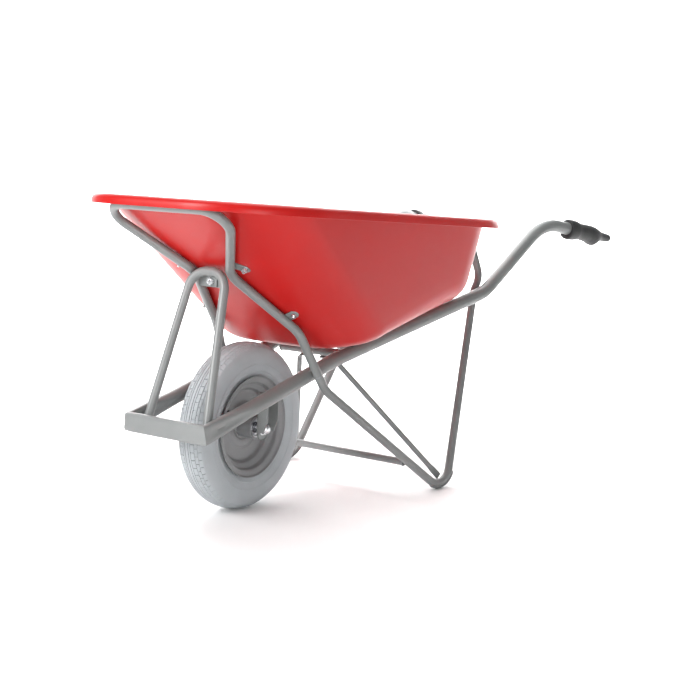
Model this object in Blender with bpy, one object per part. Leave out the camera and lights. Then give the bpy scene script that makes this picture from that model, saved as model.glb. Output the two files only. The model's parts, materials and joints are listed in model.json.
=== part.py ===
"""Builder's wheelbarrow: bent tube frame, moulded tray, one pneumatic wheel.

Frame: +X towards the wheel end, +Y to the left, +Z up, origin on the ground under the middle of the box.
Lengths are metres. x values in the constants are measured from the wheel axle.
"""

import math

import bmesh
import bpy
from mathutils import Matrix, Vector
from mathutils.bvhtree import BVHTree

for old in list(bpy.data.objects):
    bpy.data.objects.remove(old, do_unlink=True)

# ---------------------------------------------------------------- dimensions
AXLE_X = 0.4879  # the axle ahead of the origin
AXLE_Z = 0.1900  # wheel radius: the wheel stands on the ground
GAP = 0.0004  # clear space between pieces that touch

RAIL_R, RAIL_WALL = 0.01685, 0.0020  # main tube, 33.7 mm
BAR_H, BAR_T = 0.0420, 0.0150  # flattened front of the main tube
HOOP_R, HOOP_WALL = 0.0103, 0.0018  # tray hoop, legs and back hoop, 20.6 mm
LOOP_R, LOOP_WALL = 0.0098, 0.0015  # brace over the wheel
CROSS_R = 0.0090  # leg crossbar
ROD_R = 0.0066  # thin struts

# main tube, left half, as virtual corners
BAR_CORNER = (0.2546, 0.1064, 0.2147)
RAIL_KINK = (-0.1995, 0.1064, 0.3313)
RAIL_BEND = (-0.7470, 0.1940, 0.4719)
HANDLE_BEND = (-0.9827, 0.2317, 0.6508)
HANDLE_END = (-1.2150, 0.2689, 0.6179)

# tray hoop and legs, left half
HOOP_TOP = (0.2936, 0.1872, 0.6812)
HOOP_WAIST = (0.1188, 0.0485, 0.5377)
HOOP_HIP = (-0.0428, 0.1188, 0.4095)
HOOP_KNEE = (-0.1188, 0.1416, 0.2750)
FOOT = (-0.5165, 0.2418, -0.0158)
LEG_TOP = (-0.7458, 0.1615, 0.4627)
BACK_LOW = (-0.7771, 0.1596, 0.5083)
BACK_TOP = (-0.7430, 0.1425, 0.6080)

# brace loop over the wheel
LOOP_FOOT = (0.2237, 0.0840, 0.2130)
LOOP_CROWN = (0.1285, 0.0461, 0.5425)  # virtual corner of the crown

# tray
TRAY_T = 0.0040
FLOOR_Z, FLOOR_SLOPE = 0.3360, -0.205  # floor height at the axle, and its slope
RIM_Z, RIM_SLOPE = 0.6862, 0.040  # underside of the lip at the axle, and its slope
LIP_OUT, LIP_DROP = 0.0350, 0.0180

# wheel
TYRE_R, TYRE_HALF = 0.1900, 0.0390
RIM_FLANGE_R, RIM_HALF = 0.1140, 0.0340
AXLE_R = 0.0080


def P(p, side=1):
    """A point given from the axle, on the left (side 1) or the right (side -1)."""
    return Vector((AXLE_X + p[0], side * p[1], p[2]))


# ---------------------------------------------------------------- materials
def material(name, colour, rough, metal=0.0):
    mat = bpy.data.materials.new(name)
    mat.use_nodes = True
    bsdf = mat.node_tree.nodes["Principled BSDF"]
    bsdf.inputs["Base Color"].default_value = (*colour, 1)
    bsdf.inputs["Roughness"].default_value = rough
    bsdf.inputs["Metallic"].default_value = metal
    mat.diffuse_color = (*colour, 1)
    return mat


def own(kind):
    """A fresh material of a kind, so that each object has its own."""
    kinds = {
        "frame": ((0.23, 0.24, 0.24), 0.45, 0.0),
        "tray": ((0.56, 0.02, 0.02), 0.32, 0.0),
        "tyre": ((0.33, 0.36, 0.38), 0.75, 0.0),
        "rim": ((0.14, 0.145, 0.15), 0.45, 0.0),
        "grip": ((0.02, 0.02, 0.021), 0.6, 0.0),
        "zinc": ((0.66, 0.67, 0.68), 0.3, 1.0),
        "steel": ((0.45, 0.46, 0.48), 0.35, 1.0),
        "rubber": ((0.03, 0.03, 0.03), 0.7, 0.0),
    }
    return material(kind, *kinds[kind])


def finish(name, bm, kind, sharp=35):
    bmesh.ops.remove_doubles(bm, verts=bm.verts, dist=1e-6)
    bmesh.ops.recalc_face_normals(bm, faces=bm.faces)
    if bm.calc_volume(signed=True) < 0:
        bmesh.ops.reverse_faces(bm, faces=bm.faces)
    mesh = bpy.data.meshes.new(name)
    bm.to_mesh(mesh)
    bm.free()
    mesh.shade_smooth()
    mesh.set_sharp_from_angle(angle=math.radians(sharp))
    obj = bpy.data.objects.new(name, mesh)
    obj.data.materials.append(own(kind))
    bpy.context.scene.collection.objects.link(obj)
    return obj


# ---------------------------------------------------------------- tubes
def bent(points, radii, step=20):
    """The corners of a bent tube's centreline, with an arc of each radius at each inner corner."""
    path = [points[0].copy()]
    for before, corner, after, radius in zip(points, points[1:], points[2:], radii):
        a, b = (before - corner).normalized(), (after - corner).normalized()
        turn = math.pi - a.angle(b)
        if radius <= 0 or turn < 1e-4:
            path.append(corner.copy())
            continue
        reach = radius * math.tan(turn / 2)
        centre = corner + (a + b).normalized() * (radius / math.cos(turn / 2))
        start = corner + a * reach - centre
        count = max(1, round(math.degrees(turn) / step))
        axis = start.cross(corner + b * reach - centre).normalized()
        for k in range(count + 1):
            path.append(centre + Matrix.Rotation(turn * k / count, 3, axis) @ start)
    path.append(points[-1].copy())
    return path


def frames(path, ref):
    """(point, side, up) along a path; ref is never along it. A sharp corner's side is widened for its mitre."""
    out = []
    for k, point in enumerate(path):
        a = (point - path[k - 1]).normalized() if k else None
        b = (path[k + 1] - point).normalized() if k + 1 < len(path) else None
        t = ((a or b) + (b or a)).normalized()
        side = t.cross(ref).normalized()
        up = side.cross(t).normalized()
        widen = 1.0
        if a and b:
            widen = 1 / max(0.5, math.cos(a.angle(b) / 2))
        out.append((point, side * widen, up))
    return out


def circle(radius, sides):
    half = math.pi / sides
    grown = radius / math.sqrt(math.cos(half))
    return [
        (grown * math.cos(half + 2 * half * k), grown * math.sin(half + 2 * half * k))
        for k in range(sides)
    ]


def skin(bm, rings):
    """Faces between rings of vertices of the same count."""
    count = len(rings[0])
    for first, second in zip(rings, rings[1:]):
        for k in range(count):
            j = (k + 1) % count
            bm.faces.new((first[k], first[j], second[j], second[k]))


def tube(name, path, ref, radius, wall, kind="frame", sides=8, sections=None):
    """A hollow tube along a path, open at its two ends. sections(k) may give its outer and inner outline."""
    bm = bmesh.new()
    outer, inner = [], []
    plain = (circle(radius, sides), circle(radius - wall, sides))
    for k, (point, side, up) in enumerate(frames(path, ref)):
        for rings, outline in zip((outer, inner), sections(k) if sections else plain):
            rings.append([bm.verts.new(point + side * u + up * v) for u, v in outline])
    skin(bm, outer)
    skin(bm, inner)
    skin(bm, [outer[0], inner[0]])
    skin(bm, [outer[-1], inner[-1]])
    return finish(name, bm, kind)


def mirrored(half):
    """A symmetric tube's corners: the left half, then the same points on the right, backwards."""
    return half + [Vector((p.x, -p.y, p.z)) for p in reversed(half)]


def bar_section(weight):
    """Outer and inner outline of the main tube: 0 is round, 1 is flattened."""
    out = []
    for inset in (0.0, RAIL_WALL):
        a, b = BAR_H / 2 - inset, BAR_T / 2 - inset
        flat = [
            (b, 0.34 * a), (0.98 * b, 0.78 * a), (0.42 * b, a),
            (-0.42 * b, a), (-0.98 * b, 0.78 * a), (-b, 0.34 * a),
            (-b, -0.34 * a), (-0.98 * b, -0.78 * a), (-0.42 * b, -a),
            (0.42 * b, -a), (0.98 * b, -0.78 * a), (b, -0.34 * a),
        ]
        round_ = circle(RAIL_R - inset, 12)
        out.append([
            (u0 + (u1 - u0) * weight, v0 + (v1 - v0) * weight)
            for (u0, v0), (u1, v1) in zip(round_, flat)
        ])
    return out


def main_frame():
    corner, kink = P(BAR_CORNER), P(RAIL_KINK)
    half = bent([P(HANDLE_END), P(HANDLE_BEND), P(RAIL_BEND), kink, corner], [0.17, 0.13, 0.30])
    half = half[:-1]
    weights = [0.0] * len(half)
    run = corner - kink
    for back, weight in ((0.150, 0.0), (0.105, 0.22), (0.060, 0.65), (0.022, 0.97)):
        half.append(corner - run.normalized() * back)
        weights.append(weight)
    half.append(corner)
    weights.append(1.0)
    path = mirrored(half)
    weights = weights + weights[::-1]
    return tube("main_frame", path, Vector((0, 0, 1)), RAIL_R, RAIL_WALL, sides=12,
                sections=lambda k: bar_section(weights[k]))


main_frame()


# The hoop meets each leg in a butt joint beside the rail, where the rail hides it.
def on_segment(a, b, z):
    return a + (b - a) * ((z - a.z) / (b.z - a.z))


HOOP_REF = Vector((0.604, 0, -0.797))
joint = on_segment(P(HOOP_HIP), P(HOOP_KNEE), 0.3080)
hoop_half = [joint, P(HOOP_HIP), P(HOOP_WAIST), P(HOOP_TOP)]
tube("front_hoop", bent(mirrored(hoop_half), [0.095, 0.055, 0.046, 0.046, 0.055, 0.095]),
     HOOP_REF, HOOP_R, HOOP_WALL)

along = (P(HOOP_KNEE) - joint).normalized()
for name, side in (("left_leg", 1), ("right_leg", -1)):
    points = [joint + along * GAP, P(HOOP_KNEE), P(FOOT), P(LEG_TOP)]
    points = [Vector((p.x, side * p.y, p.z)) for p in points]
    tube(name, bent(points, [0.095, 0.057]), Vector((0, 1, 0)), HOOP_R, HOOP_WALL)

rise = (P(LEG_TOP) - P(FOOT)).normalized()
back_half = [P(LEG_TOP) + rise * GAP, P(LEG_TOP) + rise * 0.012, P(BACK_LOW), P(BACK_TOP)]
tube("back_hoop", bent(mirrored(back_half), [0, 0.040, 0.045, 0.045, 0.040, 0], step=26),
     Vector((1, 0, 0)), HOOP_R, HOOP_WALL)

loop_lean = (P(LOOP_CROWN) - P(LOOP_FOOT)).normalized()
tube("front_loop", bent(mirrored([P(LOOP_FOOT), P(LOOP_CROWN)]), [0.0440, 0.0440], step=20),
     Vector((loop_lean.z, 0, -loop_lean.x)), LOOP_R, LOOP_WALL)


def straight(name, y, x, z, radius, wall):
    ends = [Vector((AXLE_X + x, y, z)), Vector((AXLE_X + x, 0, z)), Vector((AXLE_X + x, -y, z))]
    return tube(name, ends, Vector((0, 0, 1)), radius, wall)


straight("tray_crossbar", 0.0990, -0.2708, 0.3377, HOOP_R, HOOP_WALL)
straight("leg_crossbar", 0.1960, -0.3889, 0.0760, CROSS_R, 0.0015)


# ---------------------------------------------------------------- thin struts with flattened ends
def strut(name, side):
    # laid out on the right, then mirrored for the left
    low, high = P((-0.5112, 0.2190, 0.0290), -1), P((-0.2780, 0.0480, 0.3255), -1)
    tab = P((-0.2780, 0.0150, 0.3255), -1)
    run = (high - low).normalized()
    rows = [
        (low - run * 0.006, 0.0095, 0.0016, None),
        (low + run * 0.018, 0.0095, 0.0016, None),
        (low + run * 0.034, ROD_R, ROD_R, None),
        (high - run * 0.030, ROD_R, ROD_R, None),
        (high - run * 0.006, 0.0085, 0.0020, "tab"),
        (high + (tab - high) * 0.30, 0.0090, 0.0016, "tab"),
        (tab, 0.0090, 0.0016, "tab"),
    ]
    flat_low = Vector((0, 1, 0))
    flat_tab = Vector((-0.5, 0, -0.866))
    bm = bmesh.new()
    rings = []
    for k, (point, wide, thin, where) in enumerate(rows):
        a = point - rows[k - 1][0] if k else rows[1][0] - point
        b = rows[k + 1][0] - point if k + 1 < len(rows) else a
        t = (a.normalized() + b.normalized()).normalized()
        normal = flat_tab if where else flat_low
        across = t.cross(normal).normalized()
        up = across.cross(t).normalized()
        rings.append([
            bm.verts.new(point + across * wide * math.cos(math.pi * (2 * j + 1) / 8)
                         + up * thin * math.sin(math.pi * (2 * j + 1) / 8))
            for j in range(8)
        ])
    skin(bm, rings)
    bm.faces.new(rings[0])
    bm.faces.new(rings[-1])
    for v in bm.verts:
        v.co.y *= -side
    return finish(name, bm, "frame")


strut("left_strut", 1)
strut("right_strut", -1)


# ---------------------------------------------------------------- turned pieces
def turned(name, rings, kind, at, axis=(0, 1, 0), sides=12, loop=True, sharp=35):
    """Rings of (distance along the axis, radius) or (distance, radius, 'hex'), skinned in order.
    With loop the last ring joins the first (a bored piece); otherwise both ends close on a point."""
    axis = Vector(axis).normalized()
    turn = Vector((0, 0, 1)).rotation_difference(axis).to_matrix()
    at = Vector(at)
    bm = bmesh.new()
    made = []
    for ring in rings:
        along, radius = ring[:2]
        row = []
        for k in range(sides):
            angle = 2 * math.pi * k / sides
            r = radius
            if len(ring) > 2:  # hex: radius is half the width across flats
                off = (angle + math.pi / 6) % (math.pi / 3) - math.pi / 6
                r = radius / math.cos(math.pi / 6) if abs(off) < 1e-6 else radius
            row.append(bm.verts.new(at + turn @ Vector((r * math.cos(angle), r * math.sin(angle), along))))
        made.append(row)
    skin(bm, made + ([made[0]] if loop else []))
    if not loop:
        for row in (made[0], made[-1]):
            bm.faces.new(row)
    return finish(name, bm, kind, sharp)


def ring_piece(name, r0, r1, y0, y1, kind, sides=16, at=None, axis=(0, 1, 0)):
    at = at if at is not None else (AXLE_X, 0, AXLE_Z)
    return turned(name, [(y0, r0), (y0, r1), (y1, r1), (y1, r0)], kind, at, axis, sides)


# tyre: a horseshoe section, open towards the rim
def tyre():
    outer = [
        (0.0268, 0.1024), (0.0272, 0.1130), (0.0310, 0.1195), (0.0368, 0.1340), (0.0390, 0.1500),
        (0.0372, 0.1660), (0.0325, 0.1775), (0.0235, 0.1850), (0.0, 0.1900),
    ]
    inner = [
        (0.0, 0.1790), (0.0180, 0.1765), (0.0290, 0.1660), (0.0325, 0.1500), (0.0310, 0.1330),
        (0.0192, 0.1080), (0.0192, 0.1024),
    ]
    section = outer + [(-y, r) for y, r in reversed(outer[:-1])]
    section += [(-y, r) for y, r in reversed(inner[1:])] + inner
    at = (AXLE_X, 0, AXLE_Z)
    return turned("tyre", section, "tyre", at, sides=36)


tyre()

# inner tube: a thin round liner, slit towards the rim where the valve comes through
tube_section = []
for k in range(8):
    a = math.radians(-62 + 304 * k / 7)
    tube_section.append((0.0215 * math.cos(a) * 1.28, 0.1430 + 0.0325 * math.sin(a)))
inner_skin = [(y * 0.93, 0.1430 + (r - 0.1430) * 0.945) for y, r in reversed(tube_section)]
turned("inner_tube", tube_section + inner_skin, "rubber", (AXLE_X, 0, AXLE_Z), sides=18)


# rim halves: pressed dishes that meet on the middle plane
def rim_half(name, side):
    face = [
        (0.0365, 0.1135), (0.0340, 0.1140), (0.0318, 0.1110), (0.0305, 0.1010), (0.0190, 0.0985),
        (0.0145, 0.0860), (0.0027, 0.0800), (0.0027, 0.0272),
    ]
    back = [
        (0.0003, 0.0272), (0.0003, 0.0815), (0.0120, 0.0875), (0.0165, 0.1003), (0.0280, 0.1018),
        (0.0296, 0.1120), (0.0335, 0.1158), (0.0368, 0.1158),
    ]
    face = [(y, r) for y, r in face]
    section = [(side * y, r) for y, r in face + back]
    return turned(name, section, "rim", (AXLE_X, 0, AXLE_Z), sides=24)


rim_left = rim_half("rim_left", 1)
rim_half("rim_right", -1)

# hub: a steel tube through both dishes, bored at each end for a bearing
turned("hub", [
    (-0.0460, 0.0228), (-0.0460, 0.0265), (0.0460, 0.0265), (0.0460, 0.0228), (0.0322, 0.0228),
    (0.0322, 0.0200), (-0.0322, 0.0200), (-0.0322, 0.0228),
], "rim", (AXLE_X, 0, AXLE_Z), sides=20)

for name, side in (("left", 1), ("right", -1)):
    low, high = sorted((side * 0.0326, side * 0.0446))
    ring_piece(name + "_bearing_outer", 0.0188, 0.0224, low, high, "steel", 16)
    ring_piece(name + "_bearing_inner", 0.0084, 0.0118, low, high, "steel", 16)
    mid = side * 0.0386
    turned(name + "_bearing_balls", [
        (mid - 0.0030, 0.0136), (mid - 0.0030, 0.0170), (mid, 0.0183), (mid + 0.0030, 0.0170),
        (mid + 0.0030, 0.0136), (mid, 0.0123),
    ], "steel", (AXLE_X, 0, AXLE_Z), sides=16)
    low, high = sorted((side * 0.0450, side * 0.0571))
    ring_piece(name + "_axle_spacer", 0.0084, 0.0118, low, high, "zinc", 16)
    low, high = sorted((side * 0.0609, side * 0.0629))
    ring_piece(name + "_axle_washer", 0.0084, 0.0150, low, high, "zinc", 16)
    turned(name + "_axle_nut", [
        (side * 0.0770, 0.0076), (side * 0.0633, 0.0084), (side * 0.0633, 0.0115, "hex"),
        (side * 0.0715, 0.0115, "hex"), (side * 0.0722, 0.0104), (side * 0.0765, 0.0088), (side * 0.0790, 0.0050),
    ], "zinc", (AXLE_X, 0, AXLE_Z), loop=False)
ring_piece("bearing_sleeve", 0.0084, 0.0108, -0.0322, 0.0322, "steel", 12)
turned("axle", [(-0.0755, 0.0068), (-0.0740, AXLE_R - 0.0004), (0.0740, AXLE_R - 0.0004), (0.0755, 0.0068)],
       "zinc", (AXLE_X, 0, AXLE_Z), loop=False)

# valve: stem out through the left dish, with its cap
VALVE_TURN = math.radians(28)
radial = Vector((math.cos(VALVE_TURN), 0, math.sin(VALVE_TURN)))
valve_at = Vector((AXLE_X, 0, AXLE_Z)) + radial * 0.1010
valve_axis = (Vector((0, 1, 0)) * 0.93 - radial * 0.36).normalized()
turned("valve_stem", [(0.0040, 0.0034), (0.0310, 0.0034), (0.0325, 0.0027)], "rubber", valve_at, valve_axis,
       sides=10, loop=False)
turned("valve_cap", [
    (0.0332, 0.0024), (0.0332, 0.0042), (0.0400, 0.0042), (0.0412, 0.0030),
], "zinc", valve_at, valve_axis, sides=10, loop=False)


def cut(obj, cutters):
    """Takes cutters out of an object and applies it."""
    for cutter in cutters:
        mod = obj.modifiers.new("cut", "BOOLEAN")
        mod.operation = "DIFFERENCE"
        mod.solver = "EXACT"
        mod.object = cutter
        cutter.hide_render = True
        cutter.display_type = "WIRE"


def join(obj, others):
    for other in others:
        mod = obj.modifiers.new("join", "BOOLEAN")
        mod.operation = "UNION"
        mod.solver = "EXACT"
        mod.object = other
        other.hide_render = True
        other.display_type = "WIRE"


cut(rim_left, [turned("valve_hole", [(0.0, 0.0042), (0.0500, 0.0042)], "rim", valve_at, valve_axis,
                      sides=10, loop=False)])


# ---------------------------------------------------------------- plates
def plate(name, outline, normal, thick, kind="frame"):
    """A flat plate: outline points on its back face, thickened along normal."""
    bm = bmesh.new()
    lift = Vector(normal).normalized() * thick
    back = [bm.verts.new(Vector(p)) for p in outline]
    front = [bm.verts.new(Vector(p) + lift) for p in outline]
    skin(bm, [back, front])
    bm.faces.new(back)
    bm.faces.new(front)
    return finish(name, bm, kind)


def axle_bracket(name, side):
    top, low = 0.2730, 0.1620
    half, inner, outer = 0.0210, 0.0575, 0.0884
    web = [(-half, top), (half, top), (half, AXLE_Z - 0.004)]
    web += [
        (half * math.cos(a), AXLE_Z - 0.007 + half * math.sin(a))
        for a in (math.radians(-20 - 28 * k) for k in range(6))
    ]
    web += [(-half, AXLE_Z - 0.004)]
    web_piece = plate(name, [(AXLE_X + x, side * inner, z) for x, z in web], (0, side, 0), 0.0030)
    flanges = []
    for x in (half - 0.0030, -half):
        shape = [(inner, 0.2725), (outer, 0.2725), (0.0880, 0.2150), (0.0790, 0.1850), (0.0640, 0.1720), (inner, 0.1720)]
        flanges.append(plate(name + "_flange" + str(x > 0), [
            (AXLE_X + x, side * y, z) for y, z in shape
        ], (1, 0, 0), 0.0030))
    join(web_piece, flanges)
    hole = turned(name + "_hole", [(side * 0.050, 0.0084), (side * 0.070, 0.0084)], "frame",
                  (AXLE_X, 0, AXLE_Z), sides=16, loop=False)
    cut(web_piece, [hole])
    return web_piece


axle_bracket("left_axle_bracket", 1)
axle_bracket("right_axle_bracket", -1)


# ---------------------------------------------------------------- tray
def outline(front, rear, half_front, half_rear, r_front, r_rear, bow):
    """Half of a rounded outline, y >= 0, from the middle of the front to the middle of the rear, as (x, y)."""
    points = []
    for k in range(3):  # front edge
        y = (half_front - r_front) * k / 3
        points.append((front - bow * (y / half_front) ** 2, y))
    cx, cy = front - r_front - bow * ((half_front - r_front) / half_front) ** 2, half_front - r_front
    for k in range(6):
        a = math.radians(90 * k / 5)
        points.append((cx + r_front * math.cos(a), cy + r_front * math.sin(a)))
    rx, ry = rear + r_rear + bow * ((half_rear - r_rear) / half_rear) ** 2, half_rear - r_rear
    for k in range(1, 4):  # side
        s = k / 4
        points.append((cx + (rx - cx) * s, half_front + (half_rear - half_front) * s))
    for k in range(5):
        a = math.radians(90 + 90 * k / 4)
        points.append((rx + r_rear * math.cos(a), ry + r_rear * math.sin(a)))
    for k in range(2, -1, -1):
        y = (half_rear - r_rear) * k / 3
        points.append((rear + bow * (y / half_rear) ** 2, y))
    return points


BOTTOM = dict(front=-0.1180, rear=-0.6740, half_front=0.2260, half_rear=0.2260, r_front=0.150, r_rear=0.130, bow=0.004)
TOP = dict(front=0.2790, rear=-0.7250, half_front=0.2520, half_rear=0.2520, r_front=0.180, r_rear=0.150, bow=0.010)


def grown(shape, grow):
    """An outline's measures moved out by grow."""
    mix = dict(shape)
    mix["front"] += grow * (1.22 if grow > 0 else 1.0)
    mix["rear"] -= grow
    for k in ("half_front", "half_rear", "r_front", "r_rear"):
        mix[k] += grow
    return outline(**mix)


def floor_z(x):
    return FLOOR_Z + FLOOR_SLOPE * x


def rim_z(x):
    return RIM_Z + RIM_SLOPE * x


LIP = [  # how far out, and how far below the rim's top
    (0.0035, 0.0055), (0.0110, 0.0014), (0.0240, 0.0), (0.0310, 0.0016),
    (LIP_OUT, 0.0070), (LIP_OUT + 0.0004, LIP_DROP),
]


def tray_rings():
    """Rings of the tray's outside, floor edge first, each as half an outline of (x, y, z)."""
    low, inset = grown(BOTTOM, 0), grown(BOTTOM, -0.01)
    high = grown(TOP, 0)
    rows = [[] for _ in range(8)]
    for (x0, y0), (xi, yi), (x1, y1) in zip(low, inset, high):
        corner = Vector((x0, y0, floor_z(x0)))
        inward = (Vector((xi, yi, floor_z(xi))) - corner).normalized()
        top = Vector((x1, y1, rim_z(x1) - 0.0150))
        wall = (top - corner).normalized()
        back = (BOTTOM["front"] - x0) / (BOTTOM["front"] - BOTTOM["rear"])
        bend_r = 0.055 + 0.020 * back  # between floor and walls
        turn = math.pi - inward.angle(wall)
        reach = bend_r * math.tan(turn / 2)
        centre = corner + (inward + wall).normalized() * (bend_r / math.cos(turn / 2))
        start = corner + inward * reach - centre
        axis = start.cross(corner + wall * reach - centre).normalized()
        for k in range(4):
            rows[k].append(centre + Matrix.Rotation(turn * k / 3, 3, axis) @ start)
        begin = rows[3][-1]
        for k, s in ((4, 0.34), (5, 0.67), (6, 0.95)):
            rows[k].append(begin.lerp(top, s))
        rows[7].append(top)
    rings = [[tuple(p) for p in row] for row in rows]
    for out, down in LIP:
        rings.append([(x, y, rim_z(x) - down) for x, y in grown(TOP, out)])
    return rings


def tray():
    bm = bmesh.new()
    rings = tray_rings()
    made = []
    for ring in rings:
        full = ring + [(x, -y, z) for x, y, z in reversed(ring[1:-1])]
        made.append([bm.verts.new(Vector((AXLE_X + x, y, z))) for x, y, z in full])
    skin(bm, made)
    # floor: rows across between matching points of the two sides
    base = made[0]
    n = len(base)
    bm.faces.new(base)
    bmesh.ops.recalc_face_normals(bm, faces=bm.faces)
    # outward is away from the inside of the tub
    inside = Vector((AXLE_X - 0.3, 0, 0.55))
    probe_face = min(bm.faces, key=lambda f: (f.calc_center_median() - Vector((AXLE_X - 0.3, 0.22, 0.55))).length)
    if probe_face.normal.dot(probe_face.calc_center_median() - inside) < 0:
        bmesh.ops.reverse_faces(bm, faces=bm.faces)
    tree = BVHTree.FromBMesh(bm)
    mesh = bpy.data.meshes.new("tray")
    bm.to_mesh(mesh)
    bm.free()
    mesh.shade_smooth()
    mesh.set_sharp_from_angle(angle=math.radians(40))
    obj = bpy.data.objects.new("tray", mesh)
    obj.data.materials.append(own("tray"))
    bpy.context.scene.collection.objects.link(obj)
    mod = obj.modifiers.new("sheet", "SOLIDIFY")
    mod.thickness = TRAY_T
    mod.offset = -1
    mod.use_even_offset = True
    mod.use_rim = True
    return obj, tree


tray_obj, tray_tree = tray()


# ---------------------------------------------------------------- tray fixings
def tray_fixing(name, side, start, segment, clear):
    """A coach bolt from inside the tray through a tab that is welded to the hoop, with its nut outside."""
    start = P(start, side)
    toward = Vector((-0.604, 0, 0.797))
    hit, normal, _, _ = tray_tree.ray_cast(start, toward)
    normal = normal.normalized()
    if normal.dot(toward) > 0:
        normal = -normal
    tab_back = hit + normal * GAP
    a, b = P(segment[0], side), P(segment[1], side)
    run = (b - a).normalized()
    away = a + run * run.dot(tab_back - a) - tab_back
    off = away.dot(normal) - 0.0025  # from the tab's outer face to the tube's axis
    away -= normal * away.dot(normal)
    u = away.normalized()
    v = normal.cross(u)
    wide = 0.0110
    tube_r = HOOP_R * 1.05 + 0.0004
    reach = away.length - (math.sqrt(tube_r ** 2 - off ** 2) if off < tube_r else 0.003)
    shape = [(reach, wide), (-0.004, wide), (-0.0105, wide * 0.55), (-0.0125, 0.0), (-0.0105, -wide * 0.55), (-0.004, -wide), (reach, -wide)]
    tab = plate(name + "_tab", [tab_back + u * p + v * q for p, q in shape], normal, 0.0025)
    head = -TRAY_T - clear
    turned(name + "_bolt", [
        (head - 0.0035, 0.0040), (head - 0.0025, 0.0072), (head, 0.0086), (head, 0.0030), (0.0130, 0.0030),
    ], "zinc", hit, normal, sides=10, loop=False)
    turned(name + "_nut", [(0.0033, 0.0034), (0.0033, 0.0065, "hex"), (0.0085, 0.0065, "hex"), (0.0085, 0.0034)],
           "zinc", hit, normal)
    hole = turned(name + "_tray_hole", [(-0.020, 0.0034), (0.010, 0.0034)], "tray", hit, normal, sides=10, loop=False)
    return tab, hole, hit, normal


holes = []
for name, side in (("left", 1), ("right", -1)):
    for level, start, segment, clear in (
        ("upper", (0.1806, 0.0900, 0.4753), (HOOP_WAIST, HOOP_TOP), 0.0005),
        ("lower", (0.0495, 0.1240, 0.3703), (HOOP_WAIST, HOOP_HIP), 0.0028),
    ):
        tab, hole, hit, normal = tray_fixing(name + "_" + level + "_tray", side, start, segment, clear)
        holes.append(hole)
        cut(tab, [hole])
cut(tray_obj, holes)


# ---------------------------------------------------------------- crown fixing
def cross_plate(name, x, half, low, high, thick):
    return plate(name, [(AXLE_X + x, y, z) for y, z in ((-half, low), (half, low), (half, high), (-half, high))],
                 (1, 0, 0), thick)


CROWN_BOLT_Z = 0.5205
strap = cross_plate("waist_strap", 0.1160, 0.0365, 0.5080, 0.5310, 0.0030)
loop_tab = cross_plate("loop_tab", 0.1194, 0.0150, 0.5090, 0.5322, 0.0030)
bolt_at = Vector((AXLE_X + 0.1160, 0, CROWN_BOLT_Z))
turned("crown_bolt", [(-0.0058, 0.0075, "hex"), (-0.0004, 0.0075, "hex"), (-0.0004, 0.0039), (0.0190, 0.0039)],
       "zinc", bolt_at, (1, 0, 0), loop=False)
turned("crown_nut", [(0.0068, 0.0043), (0.0068, 0.0075, "hex"), (0.0130, 0.0075, "hex"), (0.0130, 0.0043)],
       "zinc", bolt_at, (1, 0, 0))
for piece in (strap, loop_tab):
    cut(piece, [turned(piece.name + "_hole", [(-0.010, 0.0043), (0.020, 0.0043)], "frame", bolt_at, (1, 0, 0),
                       sides=12, loop=False)])


# ---------------------------------------------------------------- wear shoes under the feet
def foot_shoe(name, side):
    points = [P(HOOP_KNEE, side), P(FOOT, side), P(LEG_TOP, side)]
    path = bent(points, [0.057])
    arc = path[2:-1]
    bm = bmesh.new()
    rings = []
    for point, across, up in frames(arc, Vector((0, 1, 0))):
        ring = []
        for radius in (HOOP_R + 0.0013, HOOP_R + 0.0038):
            angles = [math.radians(a) for a in (-62, -31, 0, 31, 62)]
            if radius > HOOP_R + 0.002:
                angles.reverse()
            # 'across' points out of the bend
            ring += [bm.verts.new(point + across * radius * math.cos(a) + up * radius * math.sin(a)) for a in angles]
        rings.append(ring)
    skin(bm, rings)
    bm.faces.new(rings[0])
    bm.faces.new(rings[-1])
    return finish(name, bm, "frame")


foot_shoe("left_foot_shoe", 1)
foot_shoe("right_foot_shoe", -1)


# ---------------------------------------------------------------- rubber pads between rails and tray
def tray_pad(name, side):
    x, long, wide = -0.262, 0.034, 0.020
    y = side * 0.1165
    outline_ = []
    for dx in (-long / 2, long / 2):
        rail = BAR_CORNER[2] + (BAR_CORNER[0] - (x + dx)) * (RAIL_KINK[2] - BAR_CORNER[2]) / (BAR_CORNER[0] - RAIL_KINK[0])
        outline_.append((dx, rail + RAIL_R + 0.0012, floor_z(x + dx) - 0.0006))
    (a, a0, a1), (b, b0, b1) = outline_
    return plate(name, [(AXLE_X + x + a, y - wide / 2, a0), (AXLE_X + x + b, y - wide / 2, b0),
                        (AXLE_X + x + b, y - wide / 2, b1), (AXLE_X + x + a, y - wide / 2, a1)],
                 (0, 1, 0), wide, "rubber")


tray_pad("left_tray_pad", 1)
tray_pad("right_tray_pad", -1)


# ---------------------------------------------------------------- grips
GRIP = [  # distance along the handle, half height, half width, drop of the centre
    (0.000, 0.0270, 0.0225, 0.0020), (0.010, 0.0285, 0.0240, 0.0015), (0.034, 0.0275, 0.0240, 0.0005),
    (0.046, 0.0238, 0.0225, 0.0000), (0.090, 0.0235, 0.0222, 0.0000), (0.112, 0.0262, 0.0225, 0.0022),
    (0.128, 0.0275, 0.0220, 0.0045), (0.142, 0.0225, 0.0195, 0.0030), (0.156, 0.0155, 0.0150, 0.0000),
    (0.185, 0.0125, 0.0125, -0.0005), (0.206, 0.0110, 0.0110, -0.0005), (0.212, 0.0080, 0.0080, -0.0005),
]


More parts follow.
